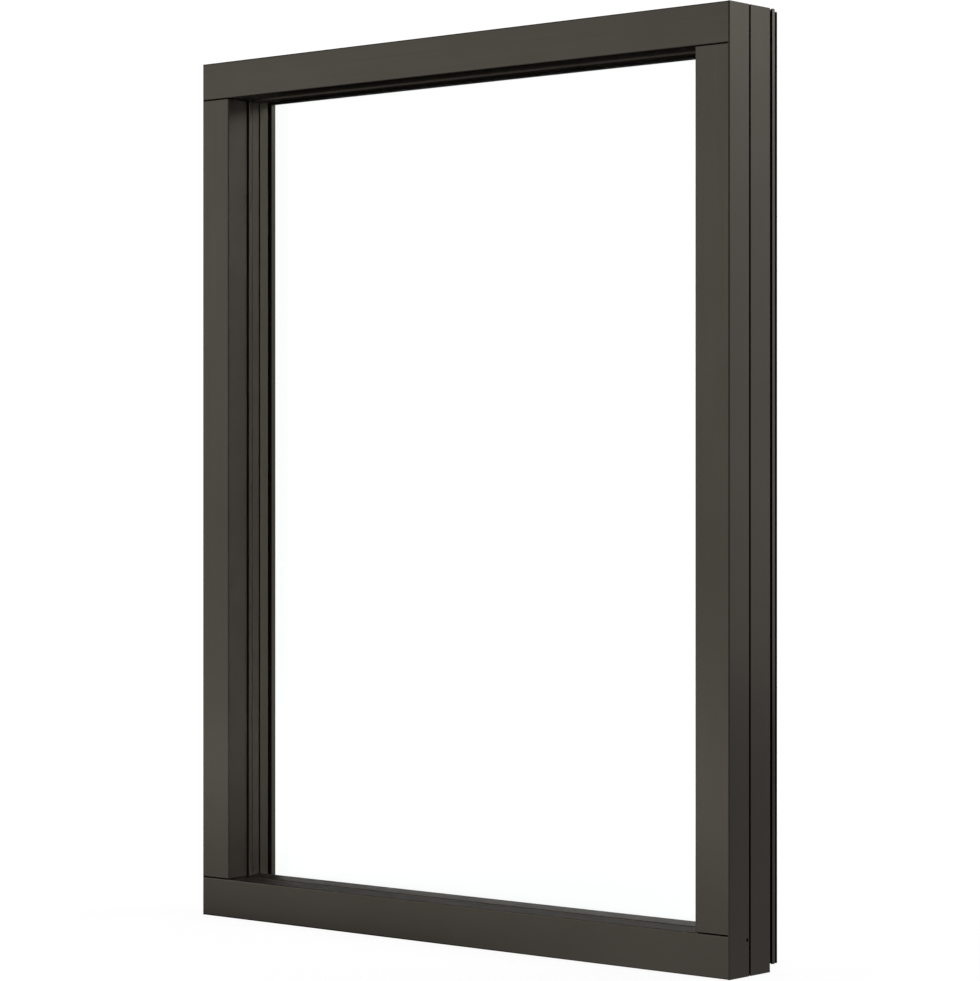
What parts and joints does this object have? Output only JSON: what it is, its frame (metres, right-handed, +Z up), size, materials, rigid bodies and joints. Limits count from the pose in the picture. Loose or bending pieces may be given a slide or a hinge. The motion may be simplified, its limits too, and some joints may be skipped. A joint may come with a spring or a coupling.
{
  "type": "fixed picture window",
  "caption": "Fixed picture window: a sealed glass unit held by clip-in beads and a rear stop in a thermally broken dark bronze aluminium frame.",
  "frame": {"origin": "centre of the frame's underside, at the middle of its whole depth, where it stands in the opening", "axes": "+Z up, +Y from the front face to the back, +X to the right as seen from the front"},
  "size_m": [0.934, 0.1068, 1.219],
  "materials": {
    "bronze": "dark bronze anodised, satin",
    "polyamide": "black glass-filled polyamide",
    "gasket": "black extruded rubber",
    "seal": "black cellular rubber",
    "glass": "clear polished float glass",
    "spacer": "bronze structural foam",
    "sealant": "black polysulphide sealant",
    "block": "hard black rubber"
  },
  "bodies": {
    "root": {"head_front_profile": "bronze", "head_rear_profile": "bronze", "head_thermal_break": "polyamide", "head_glazing_bead": "bronze", "head_front_gasket": "gasket", "head_rear_gasket": "gasket", "head_rear_stop": "bronze", "head_wall_seal": "seal", "sill_front_profile": "bronze", "sill_rear_profile": "bronze", "sill_thermal_break": "polyamide", "sill_glazing_bead": "bronze", "sill_front_gasket": "gasket", "sill_rear_gasket": "gasket", "sill_rear_stop": "bronze", "sill_wall_seal": "seal", "left_jamb_front_profile": "bronze", "left_jamb_rear_profile": "bronze", "left_jamb_thermal_break": "polyamide", "left_jamb_glazing_bead": "bronze", "left_jamb_front_gasket": "gasket", "left_jamb_rear_gasket": "gasket", "left_jamb_rear_stop": "bronze", "left_jamb_wall_seal": "seal", "right_jamb_front_profile": "bronze", "right_jamb_rear_profile": "bronze", "right_jamb_thermal_break": "polyamide", "right_jamb_glazing_bead": "bronze", "right_jamb_front_gasket": "gasket", "right_jamb_rear_gasket": "gasket", "right_jamb_rear_stop": "bronze", "right_jamb_wall_seal": "seal", "front_pane": "glass", "rear_pane": "glass", "glass_spacer": "spacer", "glass_edge_seal": "sealant", "setting_blocks": "block"}
  },
  "joints": []
}
